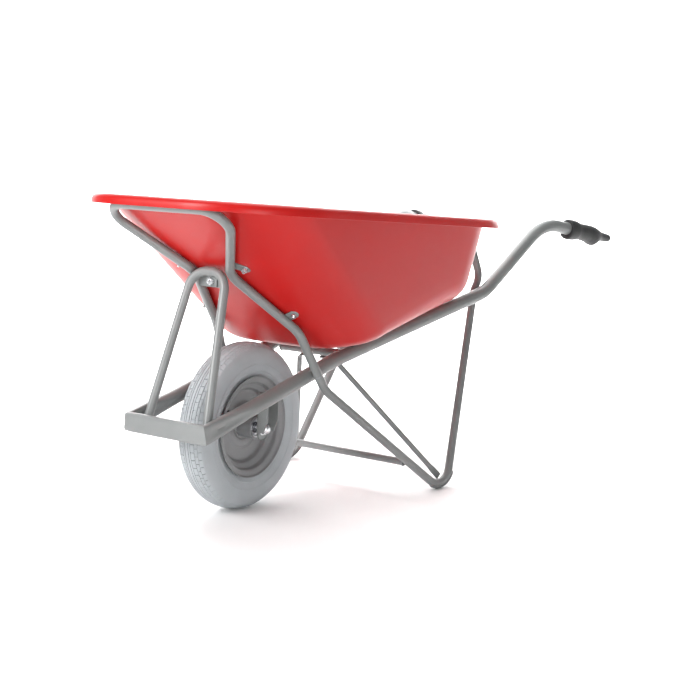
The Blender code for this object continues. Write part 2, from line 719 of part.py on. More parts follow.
def grip(name, side):
    bend, end = P(HANDLE_BEND, side), P(HANDLE_END, side)
    t = (end - bend).normalized()
    start = bend + t * ((AXLE_X - 1.0930 - bend.x) / t.x)
    across = t.cross(Vector((0, 0, 1))).normalized()
    up = across.cross(t).normalized()
    depth = (end - start).length + 0.0030
    bm = bmesh.new()
    rings = []
    for along, tall, wide, drop in GRIP:
        rings.append([
            bm.verts.new(start + t * along - up * drop
                         + across * wide * math.cos(2 * math.pi * k / 12) + up * tall * math.sin(2 * math.pi * k / 12))
            for k in range(12)
        ])
    grown_r = (RAIL_R + 0.0009) / math.sqrt(math.cos(math.pi / 12))
    bore = [[
        bm.verts.new(start + t * along + across * grown_r * math.cos(2 * math.pi * k / 12)
                     + up * grown_r * math.sin(2 * math.pi * k / 12))
        for k in range(12)
    ] for along in (0.0, depth)]
    skin(bm, rings)
    skin(bm, bore)
    skin(bm, [rings[0], bore[0]])
    bm.faces.new(rings[-1])
    bm.faces.new(bore[-1])
    return finish(name, bm, "grip")


grip("left_grip", 1)
grip("right_grip", -1)
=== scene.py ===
"""Looks of the wheelbarrow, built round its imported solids. Metres, +X to the wheel end, +Y left, +Z up."""

import json
import math

import bmesh
import bpy
from mathutils import Matrix, Vector


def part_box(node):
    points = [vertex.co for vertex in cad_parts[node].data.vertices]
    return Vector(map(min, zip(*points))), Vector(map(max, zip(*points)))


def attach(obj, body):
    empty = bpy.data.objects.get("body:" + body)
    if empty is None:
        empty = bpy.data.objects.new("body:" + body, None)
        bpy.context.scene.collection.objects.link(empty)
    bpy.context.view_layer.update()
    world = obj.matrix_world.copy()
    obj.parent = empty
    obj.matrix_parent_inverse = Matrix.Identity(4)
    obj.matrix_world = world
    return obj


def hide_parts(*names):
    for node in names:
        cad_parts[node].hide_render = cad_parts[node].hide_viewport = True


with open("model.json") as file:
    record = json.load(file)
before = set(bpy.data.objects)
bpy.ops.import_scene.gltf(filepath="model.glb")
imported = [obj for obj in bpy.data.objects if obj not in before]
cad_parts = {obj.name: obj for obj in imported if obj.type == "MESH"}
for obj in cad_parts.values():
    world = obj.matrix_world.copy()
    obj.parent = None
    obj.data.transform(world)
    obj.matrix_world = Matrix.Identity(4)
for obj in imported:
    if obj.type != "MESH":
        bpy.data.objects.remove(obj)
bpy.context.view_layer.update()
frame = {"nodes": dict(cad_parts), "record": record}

# ---------------------------------------------------------------- dimensions, as in the solids
low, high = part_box("axle")
AXLE_X, AXLE_Z = (low.x + high.x) / 2, (low.z + high.z) / 2
RAIL_R = 0.01685
BAR_H, BAR_T = 0.0420, 0.0150
HOOP_R, LOOP_R, CROSS_R, ROD_R = 0.0103, 0.0098, 0.0090, 0.0066
BAR_CORNER = (0.2546, 0.1064, 0.2147)
RAIL_KINK = (-0.1995, 0.1064, 0.3313)
RAIL_BEND = (-0.7470, 0.1940, 0.4719)
HANDLE_BEND = (-0.9827, 0.2317, 0.6508)
HANDLE_END = (-1.2150, 0.2689, 0.6179)
HOOP_TOP = (0.2936, 0.1872, 0.6812)
HOOP_WAIST = (0.1188, 0.0485, 0.5377)
HOOP_HIP = (-0.0428, 0.1188, 0.4095)
HOOP_KNEE = (-0.1188, 0.1416, 0.2750)
FOOT = (-0.5165, 0.2418, -0.0158)
LEG_TOP = (-0.7458, 0.1615, 0.4627)
BACK_LOW = (-0.7771, 0.1596, 0.5083)
BACK_TOP = (-0.7430, 0.1425, 0.6080)
LOOP_FOOT = (0.2237, 0.0840, 0.2130)
LOOP_CROWN = (0.1285, 0.0461, 0.5425)
TRAY_T = 0.0040
FLOOR_Z, FLOOR_SLOPE = 0.3360, -0.205
RIM_Z, RIM_SLOPE = 0.6862, 0.040
LIP_OUT, LIP_DROP = 0.0350, 0.0180
SIDES = (("left", 1), ("right", -1))


def P(p, side=1):
    return Vector((AXLE_X + p[0], side * p[1], p[2]))


# ---------------------------------------------------------------- materials
def shader(name, colour, rough, metal=0.0, **more):
    mat = bpy.data.materials.new(name)
    mat.use_nodes = True
    bsdf = mat.node_tree.nodes["Principled BSDF"]
    bsdf.inputs["Base Color"].default_value = (*colour, 1)
    bsdf.inputs["Roughness"].default_value = rough
    bsdf.inputs["Metallic"].default_value = metal
    for key, value in more.items():
        bsdf.inputs[key.replace("_", " ")].default_value = value
    return mat, mat.node_tree.nodes, mat.node_tree.links, bsdf


def noise(nodes, links, coords, scale, detail=4.0, rough=0.55, stretch=None):
    out = nodes.new("ShaderNodeTexNoise")
    out.inputs["Scale"].default_value = scale
    out.inputs["Detail"].default_value = detail
    out.inputs["Roughness"].default_value = rough
    source = coords.outputs["Object"]
    if stretch:
        mapping = nodes.new("ShaderNodeMapping")
        mapping.inputs["Scale"].default_value = stretch
        links.new(source, mapping.inputs["Vector"])
        source = mapping.outputs["Vector"]
    links.new(source, out.inputs["Vector"])
    return out


def ramp(nodes, links, source, stops):
    out = nodes.new("ShaderNodeValToRGB")
    out.color_ramp.elements[0].position, out.color_ramp.elements[0].color = stops[0][0], (*stops[0][1], 1)
    out.color_ramp.elements[1].position, out.color_ramp.elements[1].color = stops[-1][0], (*stops[-1][1], 1)
    for place, colour in stops[1:-1]:
        element = out.color_ramp.elements.new(place)
        element.color = (*colour, 1)
    links.new(source, out.inputs["Fac"])
    return out


def bump(nodes, links, bsdf, source, distance, strength=1.0, after=None):
    out = nodes.new("ShaderNodeBump")
    out.inputs["Strength"].default_value = strength
    out.inputs["Distance"].default_value = distance
    links.new(source, out.inputs["Height"])
    if after:
        links.new(after.outputs["Normal"], out.inputs["Normal"])
    links.new(out.outputs["Normal"], bsdf.inputs["Normal"])
    return out


def grey(v):
    return (v, v, v)


def finish_material(name, colour, vary, rough, rough_vary, metal=0.0, cloud=7.0, grain=900.0, depth=0.00005,
                    speckle=0.0, **more):
    """A base colour with broad clouds and fine speckle, uneven gloss and a fine surface texture."""
    mat, nodes, links, bsdf = shader(name, colour, rough, metal, **more)
    coords = nodes.new("ShaderNodeTexCoord")
    clouds = noise(nodes, links, coords, cloud)
    dark = tuple(c * (1 - vary) for c in colour)
    light = tuple(min(1, c * (1 + vary)) for c in colour)
    tone = ramp(nodes, links, clouds.outputs["Fac"], [(0.3, dark), (0.7, light)])
    source = tone.outputs["Color"]
    if speckle:
        dots = noise(nodes, links, coords, 1500.0, 2.0)
        spots = ramp(nodes, links, dots.outputs["Fac"], [(0.36, grey(1 - speckle)), (0.5, grey(1)), (0.66, grey(1 + speckle))])
        mix = nodes.new("ShaderNodeMix")
        mix.data_type, mix.blend_type = "RGBA", "MULTIPLY"
        mix.inputs[0].default_value = 1.0
        links.new(source, mix.inputs[6])
        links.new(spots.outputs["Color"], mix.inputs[7])
        source = mix.outputs[2]
    links.new(source, bsdf.inputs["Base Color"])
    smears = noise(nodes, links, coords, cloud * 4)
    gloss = nodes.new("ShaderNodeMapRange")
    gloss.inputs["To Min"].default_value = rough - rough_vary
    gloss.inputs["To Max"].default_value = rough + rough_vary
    links.new(smears.outputs["Fac"], gloss.inputs["Value"])
    links.new(gloss.outputs["Result"], bsdf.inputs["Roughness"])
    peel = noise(nodes, links, coords, grain, 3.0)
    bump(nodes, links, bsdf, peel.outputs["Fac"], depth)
    return mat


FRAME = finish_material("frame_powder_coat", (0.185, 0.194, 0.193), 0.10, 0.36, 0.06, grain=650.0, depth=0.00009,
                        speckle=0.10, Specular_IOR_Level=0.6)
TRAY = finish_material("tray_moulded_red", (0.430, 0.007, 0.006), 0.05, 0.36, 0.05, cloud=3.0, grain=1100.0,
                       depth=0.00004, Specular_IOR_Level=0.30)
TYRE = finish_material("tyre_grey_rubber", (0.385, 0.412, 0.430), 0.07, 0.72, 0.08, cloud=14.0, grain=1400.0,
                       depth=0.00010, speckle=0.05)
RIM = finish_material("rim_grey_paint", (0.210, 0.215, 0.221), 0.08, 0.34, 0.06, grain=700.0, depth=0.00008, speckle=0.05)
GRIP = finish_material("grip_black_rubber", (0.020, 0.020, 0.021), 0.25, 0.50, 0.10, cloud=20.0, grain=1300.0, depth=0.00016)
PAD = finish_material("pad_black_rubber", (0.030, 0.030, 0.030), 0.2, 0.65, 0.08, cloud=25.0, grain=1500.0, depth=0.00010)
ZINC = finish_material("zinc_plate", (0.74, 0.75, 0.77), 0.08, 0.26, 0.08, metal=1.0, cloud=60.0, grain=2200.0, depth=0.00002)
STEEL = finish_material("ground_steel", (0.50, 0.51, 0.53), 0.06, 0.30, 0.06, metal=1.0, cloud=80.0, grain=2600.0, depth=0.00001)
WELD = finish_material("weld_painted", (0.235, 0.246, 0.248), 0.14, 0.42, 0.08, cloud=120.0, grain=900.0, depth=0.00020)
KINDS = {"frame": FRAME, "tray": TRAY, "tyre": TYRE, "rim": RIM, "grip": GRIP, "rubber": PAD, "zinc": ZINC, "steel": STEEL}


# ---------------------------------------------------------------- mesh helpers
def mesh_piece(name, bm, kind, body="frame", replaces=(), sharp=38, mat=None, bevel=None):
    bmesh.ops.remove_doubles(bm, verts=bm.verts, dist=1e-6)
    bmesh.ops.recalc_face_normals(bm, faces=bm.faces)
    if bm.calc_volume(signed=True) < 0:
        bmesh.ops.reverse_faces(bm, faces=bm.faces)
    mesh = bpy.data.meshes.new(name)
    bm.to_mesh(mesh)
    bm.free()
    mesh.shade_smooth()
    mesh.set_sharp_from_angle(angle=math.radians(sharp))
    mesh.materials.append(mat or KINDS[kind])
    obj = bpy.data.objects.new(name, mesh)
    bpy.context.scene.collection.objects.link(obj)
    if bevel:
        mod = obj.modifiers.new("edges", "BEVEL")
        mod.width, mod.segments, mod.limit_method = bevel, 3, "ANGLE"
        mod.angle_limit = math.radians(40)
        mod.harden_normals = False
    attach(obj, body)
    if replaces:
        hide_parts(*replaces)
    return obj


def bent(points, radii, step=5):
    path = [points[0].copy()]
    for before, corner, after, radius in zip(points, points[1:], points[2:], radii):
        a, b = (before - corner).normalized(), (after - corner).normalized()
        turn = math.pi - a.angle(b)
        if radius <= 0 or turn < 1e-4:
            path.append(corner.copy())
            continue
        reach = radius * math.tan(turn / 2)
        centre = corner + (a + b).normalized() * (radius / math.cos(turn / 2))
        start = corner + a * reach - centre
        count = max(2, round(math.degrees(turn) / step))
        axis = start.cross(corner + b * reach - centre).normalized()
        for k in range(count + 1):
            path.append(centre + Matrix.Rotation(turn * k / count, 3, axis) @ start)
    path.append(points[-1].copy())
    return path


def frames(path, ref):
    out = []
    for k, point in enumerate(path):
        a = (point - path[k - 1]).normalized() if k else None
        b = (path[k + 1] - point).normalized() if k + 1 < len(path) else None
        t = ((a or b) + (b or a)).normalized()
        side = t.cross(ref).normalized()
        up = side.cross(t).normalized()
        widen = 1 / max(0.5, math.cos(a.angle(b) / 2)) if a and b else 1.0
        out.append((point, side * widen, up))
    return out


def circle(radius, sides=28):
    return [(radius * math.cos(2 * math.pi * k / sides), radius * math.sin(2 * math.pi * k / sides)) for k in range(sides)]


def skin(bm, rings, loop=False):
    count = len(rings[0])
    pairs = list(zip(rings, rings[1:])) + ([(rings[-1], rings[0])] if loop else [])
    for first, second in pairs:
        for k in range(count):
            j = (k + 1) % count
            bm.faces.new((first[k], first[j], second[j], second[k]))


def tube(name, path, ref, radius, wall, replaces, body="frame", sides=28, sections=None, kind="frame"):
    bm = bmesh.new()
    outer, inner = [], []
    plain = (circle(radius, sides), circle(radius - wall, sides))
    for k, (point, side, up) in enumerate(frames(path, ref)):
        for rings, outline in zip((outer, inner), sections(k) if sections else plain):
            rings.append([bm.verts.new(point + side * u + up * v) for u, v in outline])
    skin(bm, outer)
    skin(bm, inner)
    skin(bm, [outer[0], inner[0]])
    skin(bm, [outer[-1], inner[-1]])
    return mesh_piece(name, bm, kind, body, (replaces,) if replaces else ())


def mirrored(half):
    return half + [Vector((p.x, -p.y, p.z)) for p in reversed(half)]


def smooth_step(s):
    s = max(0.0, min(1.0, s))
    return s * s * (3 - 2 * s)


def bead(name, points, radius, closed=False, seed=0.0, ripple=0.0045):
    """A weld bead along points: a small rippled half-sunk tube."""
    if closed:
        points = points + points[:1]
    fine = []
    for a, b in zip(points, points[1:]):
        count = max(1, math.ceil((b - a).length / 0.0009))
        fine += [a.lerp(b, k / count) for k in range(count)]
    if not closed:
        fine.append(points[-1])
    count = len(fine)
    bm = bmesh.new()
    rings, run = [], 0.0
    for k, point in enumerate(fine):
        before = fine[k - 1] if (k or closed) else point
        after = fine[(k + 1) % count] if (k + 1 < count or closed) else point
        t = (after - before).normalized()
        run += (point - before).length if k else 0.0
        ref = Vector((0.31, 0.52, 0.79))
        side = t.cross(ref).normalized()
        up = side.cross(t).normalized()
        size = radius * (1 + 0.13 * math.cos(2 * math.pi * run / ripple + seed) + 0.08 * math.sin(run * 410 + seed * 3))
        if not closed:
            size *= 0.35 + 0.65 * smooth_step(min(k, count - 1 - k) / 3)
        rings.append([bm.verts.new(point + side * size * math.cos(a) + up * size * math.sin(a))
                      for a in (2 * math.pi * j / 8 for j in range(8))])
    skin(bm, rings, loop=closed)
    if not closed:
        bm.faces.new(rings[0])
        bm.faces.new(rings[-1])
    return mesh_piece(name, bm, "frame", mat=WELD, sharp=70)


def ring_points(centre, axis, radius, count=32, arc=(0, 360), flat=None):
    """Points round an axis; with flat (a plane's point and normal) each is slid along the axis onto the plane."""
    axis = axis.normalized()
    a = axis.orthogonal().normalized()
    b = axis.cross(a)
    out = []
    for k in range(count):
        t = math.radians(arc[0] + (arc[1] - arc[0]) * k / count)
        p = centre + (a * math.cos(t) + b * math.sin(t)) * radius
        if flat:
            point, normal = flat
            p = p + axis * ((point - p).dot(normal) / axis.dot(normal))
        out.append(p)
    return out


def turned(name, rings, kind, at, axis=(0, 1, 0), sides=64, loop=True, body="frame", replaces=(), sharp=32, bevel=None):
    """Rings of (distance along the axis, radius) or (distance, half the width across flats, 'hex')."""
    axis = Vector(axis).normalized()
    turn = Vector((0, 0, 1)).rotation_difference(axis).to_matrix()
    at = Vector(at)
    bm = bmesh.new()
    made = []
    for ring in rings:
        along, radius = ring[:2]
        row = []
        for k in range(sides):
            angle = 2 * math.pi * k / sides
            r = radius
            if len(ring) > 2:
                off = (angle + math.pi / 6) % (math.pi / 3) - math.pi / 6
                r = radius / math.cos(math.pi / 6 - abs(off))
            row.append(bm.verts.new(at + turn @ Vector((r * math.cos(angle), r * math.sin(angle), along))))
        made.append(row)
    skin(bm, made, loop=loop)
    if not loop:
        bm.faces.new(made[0])
        bm.faces.new(made[-1])
    return mesh_piece(name, bm, kind, body, replaces, sharp, bevel=bevel)


def chaikin(points, rounds=2, closed=False):
    for _ in range(rounds):
        out = [] if closed else [points[0]]
        pairs = list(zip(points, points[1:])) + ([(points[-1], points[0])] if closed else [])
        for a, b in pairs:
            out.append(tuple(x * 0.75 + y * 0.25 for x, y in zip(a, b)))
            out.append(tuple(x * 0.25 + y * 0.75 for x, y in zip(a, b)))
        if not closed:
            out.append(points[-1])
        points = out
    return points


# ---------------------------------------------------------------- main tube
def flat_outline(sides, a, b, corner):
    """A rounded upright strip section: half height a, half thickness b, as points matched to a circle's angles."""
    out = []
    for k in range(sides):
        t = 2 * math.pi * k / sides
        c, s = math.cos(t), math.sin(t)
        # superellipse, flat sided
        power = 2 / 5.0
        out.append((b * math.copysign(abs(c) ** power, c), a * math.copysign(abs(s) ** power, s)))
    return out


def bar_section(weight, groove, sides=48):
    rings = []
    for inset in (0.0, 0.0020):
        flat = flat_outline(sides, BAR_H / 2 - inset, BAR_T / 2 - inset, 0.004)
        round_ = circle(RAIL_R - inset, sides)
        ring = []
        for (u0, v0), (u1, v1) in zip(round_, flat):
            u, v = u0 + (u1 - u0) * weight, v0 + (v1 - v0) * weight
            pinch = groove * math.exp(-(v / 0.0075) ** 2)
            u -= math.copysign(min(abs(u) * 0.6, pinch), u)
            ring.append((u, v))
        rings.append(ring)
    return rings


corner, kink = P(BAR_CORNER), P(RAIL_KINK)
half = bent([P(HANDLE_END), P(HANDLE_BEND), P(RAIL_BEND), kink, corner], [0.17, 0.13, 0.30], step=3)[:-1]
shape = [(0.0, 0.0)] * len(half)
run = (corner - kink).normalized()
for k in range(25):
    back = 0.165 * (1 - k / 24)
    w = smooth_step(1 - back / 0.160)
    w = w ** 0.85
    half.append(corner - run * back)
    shape.append((min(1.0, w), 0.0042 * smooth_step((0.165 - back) / 0.08) * smooth_step((back + 0.012) / 0.05)))
for k in range(1, 9):  # along the nose bar to its middle
    half.append(Vector((corner.x, corner.y * (1 - k / 8), corner.z)))
    shape.append((1.0, 0.0006 * (1 - k / 8) + 0.0004))
path = half + [Vector((p.x, -p.y, p.z)) for p in reversed(half[:-1])]
shapes = shape + shape[:-1][::-1]
tube("main_tube", path, Vector((0, 0, 1)), RAIL_R, 0.002, "main_frame", sides=48,
     sections=lambda k: bar_section(*shapes[k]))

# ---------------------------------------------------------------- hoops, legs and loop
HOOP_REF = Vector((0.604, 0, -0.797))
hip, knee = P(HOOP_HIP), P(HOOP_KNEE)
joint = hip + (knee - hip) * ((0.3080 - hip.z) / (knee.z - hip.z))
tube("tray_hoop", bent(mirrored([joint, hip, P(HOOP_WAIST), P(HOOP_TOP)]), [0.095, 0.055, 0.046, 0.046, 0.055, 0.095]),
     HOOP_REF, HOOP_R, 0.0018, "front_hoop")
for name, side in SIDES:
    points = [Vector((p.x, side * p.y, p.z)) for p in (joint, knee, P(FOOT), P(LEG_TOP))]
    tube(name + "_leg_tube", bent(points, [0.095, 0.057], step=4), Vector((0, 1, 0)), HOOP_R, 0.0018, name + "_leg")
rise = (P(LEG_TOP) - P(FOOT)).normalized()
back_half = [P(LEG_TOP) + rise * 0.0004, P(LEG_TOP) + rise * 0.012, P(BACK_LOW), P(BACK_TOP)]
tube("rear_hoop", bent(mirrored(back_half), [0, 0.040, 0.045, 0.045, 0.040, 0]), Vector((1, 0, 0)), HOOP_R, 0.0018, "back_hoop")
loop_lean = (P(LOOP_CROWN) - P(LOOP_FOOT)).normalized()
tube("wheel_loop", bent(mirrored([P(LOOP_FOOT), P(LOOP_CROWN)]), [0.0440, 0.0440], step=4),
     Vector((loop_lean.z, 0, -loop_lean.x)), LOOP_R, 0.0015, "front_loop")


def straight(name, y, x, z, radius, node):
    ends = [Vector((AXLE_X + x, y * (1 - k / 8), z)) for k in range(17)]
    return tube(name, ends, Vector((0, 0, 1)), radius, 0.0016, node)


straight("under_tray_bar", 0.0990, -0.2708, 0.3377, HOOP_R, "tray_crossbar")
straight("leg_bar", 0.1960, -0.3889, 0.0760, CROSS_R, "leg_crossbar")

# ---------------------------------------------------------------- struts with flattened ends
for name, side in SIDES:
    low_end, high_end = P((-0.5112, 0.2190, 0.0290), -1), P((-0.2780, 0.0480, 0.3255), -1)
    tab = P((-0.2780, 0.0150, 0.3255), -1)
    run = (high_end - low_end).normalized()
    rows = [
        (low_end - run * 0.006, 0.0095, 0.0016), (low_end + run * 0.016, 0.0095, 0.0016),
        (low_end + run * 0.036, ROD_R, ROD_R), (low_end + run * 0.050, ROD_R, ROD_R),
        (high_end - run * 0.050, ROD_R, ROD_R), (high_end - run * 0.032, ROD_R, ROD_R),
        (high_end - run * 0.006, 0.0085, 0.0020), (high_end + (tab - high_end) * 0.30, 0.0090, 0.0016), (tab, 0.0090, 0.0016),
    ]
    packed = chaikin([(*p, w, t, 0.0 if k < 5 else 1.0) for k, (p, w, t) in enumerate(rows)], 3)
    bm = bmesh.new()
    rings = []
    for k, (x, y, z, wide, thin, where) in enumerate(packed):
        point = Vector((x, y, z))
        before = Vector(packed[max(0, k - 1)][:3])
        after = Vector(packed[min(len(packed) - 1, k + 1)][:3])
        t = (after - before).normalized()
        normal = Vector((0, 1, 0)).lerp(Vector((-0.5, 0, -0.866)), where)
        across = t.cross(normal).normalized()
        up = across.cross(t).normalized()
        ring = []
        for j in range(20):
            a = 2 * math.pi * j / 20
            c, s = math.cos(a), math.sin(a)
            power = 1 - 0.45 * smooth_step((wide - ROD_R) / 0.003)
            ring.append(bm.verts.new(point + across * wide * math.copysign(abs(c) ** power, c)
                                     + up * thin * math.copysign(abs(s) ** power, s)))
        rings.append(ring)
    skin(bm, rings)
    bm.faces.new(rings[0])
    bm.faces.new(rings[-1])
    for v in bm.verts:
        v.co.y *= -side
    mesh_piece(name + "_strut_rod", bm, "frame", replaces=(name + "_strut",))

# ---------------------------------------------------------------- tray
BOTTOM = dict(front=-0.1180, rear=-0.6740, half_front=0.2260, half_rear=0.2260, r_front=0.150, r_rear=0.130, bow=0.004)
TOP = dict(front=0.2790, rear=-0.7250, half_front=0.2520, half_rear=0.2520, r_front=0.180, r_rear=0.150, bow=0.010)


def outline(front, rear, half_front, half_rear, r_front, r_rear, bow):
    points = []
    for k in range(7):
        y = (half_front - r_front) * k / 7
        points.append((front - bow * (y / half_front) ** 2, y))
    cx, cy = front - r_front - bow * ((half_front - r_front) / half_front) ** 2, half_front - r_front
    for k in range(25):
        a = math.radians(90 * k / 24)
        points.append((cx + r_front * math.cos(a), cy + r_front * math.sin(a)))
    rx, ry = rear + r_rear + bow * ((half_rear - r_rear) / half_rear) ** 2, half_rear - r_rear
    for k in range(1, 16):
        s = k / 16
        points.append((cx + (rx - cx) * s, half_front + (half_rear - half_front) * s))
    for k in range(21):
        a = math.radians(90 + 90 * k / 20)
        points.append((rx + r_rear * math.cos(a), ry + r_rear * math.sin(a)))
    for k in range(6, -1, -1):
        y = (half_rear - r_rear) * k / 7
        points.append((rear + bow * (y / half_rear) ** 2, y))
    return points


def grown(shape, grow):
    mix = dict(shape)
    mix["front"] += grow * (1.22 if grow > 0 else 1.0)
    mix["rear"] -= grow
    for k in ("half_front", "half_rear", "r_front", "r_rear"):
        mix[k] += grow
    return outline(**mix)


def floor_z(x):
    return FLOOR_Z + FLOOR_SLOPE * x


def rim_z(x):
    return RIM_Z + RIM_SLOPE * x


LIP = [(0.0035, 0.0055), (0.0110, 0.0014), (0.0240, 0.0), (0.0310, 0.0016), (LIP_OUT, 0.0070), (LIP_OUT + 0.0004, LIP_DROP)]


def tray():
    low, inset, high = grown(BOTTOM, 0), grown(BOTTOM, -0.01), grown(TOP, 0)
    lips = [grown(TOP, out) for out, _ in LIP]
    columns = []
    for i, ((x0, y0), (xi, yi), (x1, y1)) in enumerate(zip(low, inset, high)):
        corner = Vector((x0, y0, floor_z(x0)))
        inward = (Vector((xi, yi, floor_z(xi))) - corner).normalized()
        top = Vector((x1, y1, rim_z(x1) - 0.0150))
        wall = (top - corner).normalized()
        back = (BOTTOM["front"] - x0) / (BOTTOM["front"] - BOTTOM["rear"])
        bend_r = 0.055 + 0.020 * back
        turn = math.pi - inward.angle(wall)
        reach = bend_r * math.tan(turn / 2)
        centre = corner + (inward + wall).normalized() * (bend_r / math.cos(turn / 2))
        start = corner + inward * reach - centre
        axis = start.cross(corner + wall * reach - centre).normalized()
        column = [tuple(centre + start + inward * 0.008), tuple(centre + start + inward * 0.003)]
        for k in range(11):
            column.append(tuple(centre + Matrix.Rotation(turn * k / 10, 3, axis) @ start))
        begin = Vector(column[-1])
        for s in (0.15, 0.34, 0.52, 0.70, 0.86, 0.95):
            column.append(tuple(begin.lerp(top, s)))
        column.append(tuple(top))
        head = column[:-2]
        tail = column[-2:] + [(lips[k][i][0], lips[k][i][1], rim_z(lips[k][i][0]) - LIP[k][1]) for k in range(len(LIP))]
        columns.append(head + chaikin(tail, 2))
    rows = list(zip(*columns))
    bm = bmesh.new()
    made = []
    for ring in rows:
        ring = list(ring)
        full = ring + [(x, -y, z) for x, y, z in reversed(ring[1:-1])]
        made.append([bm.verts.new(Vector((AXLE_X + x, y, z))) for x, y, z in full])
    skin(bm, made)
    bm.faces.new(made[0])
    bmesh.ops.recalc_face_normals(bm, faces=bm.faces)
    probe = min(bm.faces, key=lambda f: (f.calc_center_median() - Vector((AXLE_X - 0.3, 0.22, 0.55))).length)
    if probe.normal.dot(probe.calc_center_median() - Vector((AXLE_X - 0.3, 0, 0.55))) < 0:
        bmesh.ops.reverse_faces(bm, faces=bm.faces)
    mesh = bpy.data.meshes.new("tray_shell")
    bm.to_mesh(mesh)
    bm.free()
    mesh.shade_smooth()
    mesh.materials.append(TRAY)
    obj = bpy.data.objects.new("tray_shell", mesh)
    bpy.context.scene.collection.objects.link(obj)
    mod = obj.modifiers.new("sheet", "SOLIDIFY")
    mod.thickness, mod.offset, mod.use_even_offset, mod.use_rim = TRAY_T, -1, True, True
    mod = obj.modifiers.new("edge", "BEVEL")
    mod.width, mod.segments, mod.limit_method, mod.angle_limit = 0.0012, 3, "ANGLE", math.radians(60)
    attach(obj, "frame")
    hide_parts("tray")


tray()


# ---------------------------------------------------------------- tyre with its tread cut in
PITCHES, SLIT, DEPTH = 64, 0.085, 0.0034
GROOVES = [(0.0034, 0.0050), (0.0088, 0.0101), (0.0183, 0.0194), (0.0250, 0.0258)]
ROWS = [(0.0101, 0.0183, 0.0), (0.0194, 0.0250, 0.5), (0.0258, 0.0316, 0.0)]


def crown_r(y):
    return 0.1900 - 6.01 * y * y - 5514.0 * y ** 4


def tyre():
    edge = 0.00022
    ys = [0.0, 0.0017]
    for a, b in GROOVES:
        ys += [a, a + edge, b - edge, b]
    for a, b, _ in ROWS:
        ys += [a + (b - a) * f for f in (0.25, 0.5, 0.75)]
    ys += [0.0070, 0.0316, 0.0316 + edge]
    ys = sorted(set(round(y, 6) for y in ys))
    wall = chaikin([(ys[-1], crown_r(ys[-1])), (0.0338, 0.1752), (0.0372, 0.1660), (0.0390, 0.1500), (0.0368, 0.1340),
                    (0.0310, 0.1195), (0.0272, 0.1130), (0.0268, 0.1024)], 2)[1:]
    fine = []
    for a, b in zip(wall, wall[1:]):
        fine.append(a)
    fine.append(wall[-1])
    wall = fine
    inner = [(0.0192, 0.1024), (0.0192, 0.1080), (0.0310, 0.1330), (0.0325, 0.1500), (0.0290, 0.1660), (0.0180, 0.1765), (0.0, 0.1790)]
    stations = [("crown", y) for y in ys] + [("wall", p) for p in wall] + [("wall", p) for p in inner]
    right = [(kind, v if kind == "crown" else v) for kind, v in stations]
    marks = []
    for k in range(PITCHES):
        for base in (0.0, 0.5):
            for off in (0.0, 0.012, SLIT - 0.012, SLIT):
                marks.append((k + base + off) / PITCHES)

    def radius(y, mark):
        r = crown_r(y)
        for a, b in GROOVES:
            if a < y < b:
                return r - DEPTH
        for a, b, phase in ROWS:
            if a <= y <= b + 0.0001:
                s = (mark * PITCHES - phase) % 1.0
                if 0.006 < s < SLIT - 0.006:
                    return r - DEPTH * (0.85 if a < 0.015 else 0.75)
        return r

    bm = bmesh.new()
    rings = []
    for mark in marks:
        angle = 2 * math.pi * mark
        c, s = math.cos(angle), math.sin(angle)
        section = []
        for kind, v in right:
            section.append((v, radius(v, mark)) if kind == "crown" else v)
        # pattern on the other half is set off by a quarter pitch's worth of phase through the mirror
        other = []
        for kind, v in right[1:-1]:
            other.append((-v, radius(v, mark + 0.5 / PITCHES)) if kind == "crown" else (-v[0], v[1]))
        loop = section + other[::-1]
        rings.append([bm.verts.new(Vector((AXLE_X + r * c, y, AXLE_Z + r * s))) for y, r in loop])
    count = len(rings)
    for i in range(count):
        a, b = rings[i], rings[(i + 1) % count]
        for j in range(len(a)):
            k = (j + 1) % len(a)
            bm.faces.new((a[j], a[k], b[k], b[j]))
    mesh_piece("tyre_treaded", bm, "tyre", "wheel", ("tyre",), sharp=30)


tyre()

# sidewall rings
for side in (1, -1):
    for y, r, t in ((0.0336, 0.1262, 0.0007), (0.0385, 0.1420, 0.0005)):
        bm = bmesh.new()
        rings = []
        for k in range(128):
            a = 2 * math.pi * k / 128
            out = Vector((math.cos(a), 0, math.sin(a)))
            centre = Vector((AXLE_X, side * y, AXLE_Z)) + out * r
            rings.append([bm.verts.new(centre + out * 0.0011 * math.cos(b) + Vector((0, t * math.sin(b), 0)))
                          for b in (2 * math.pi * j / 8 for j in range(8))])
        skin(bm, rings, loop=True)
        mesh_piece(f"sidewall_ring_{'left' if side > 0 else 'right'}_{int(r * 10000)}", bm, "tyre", "wheel")

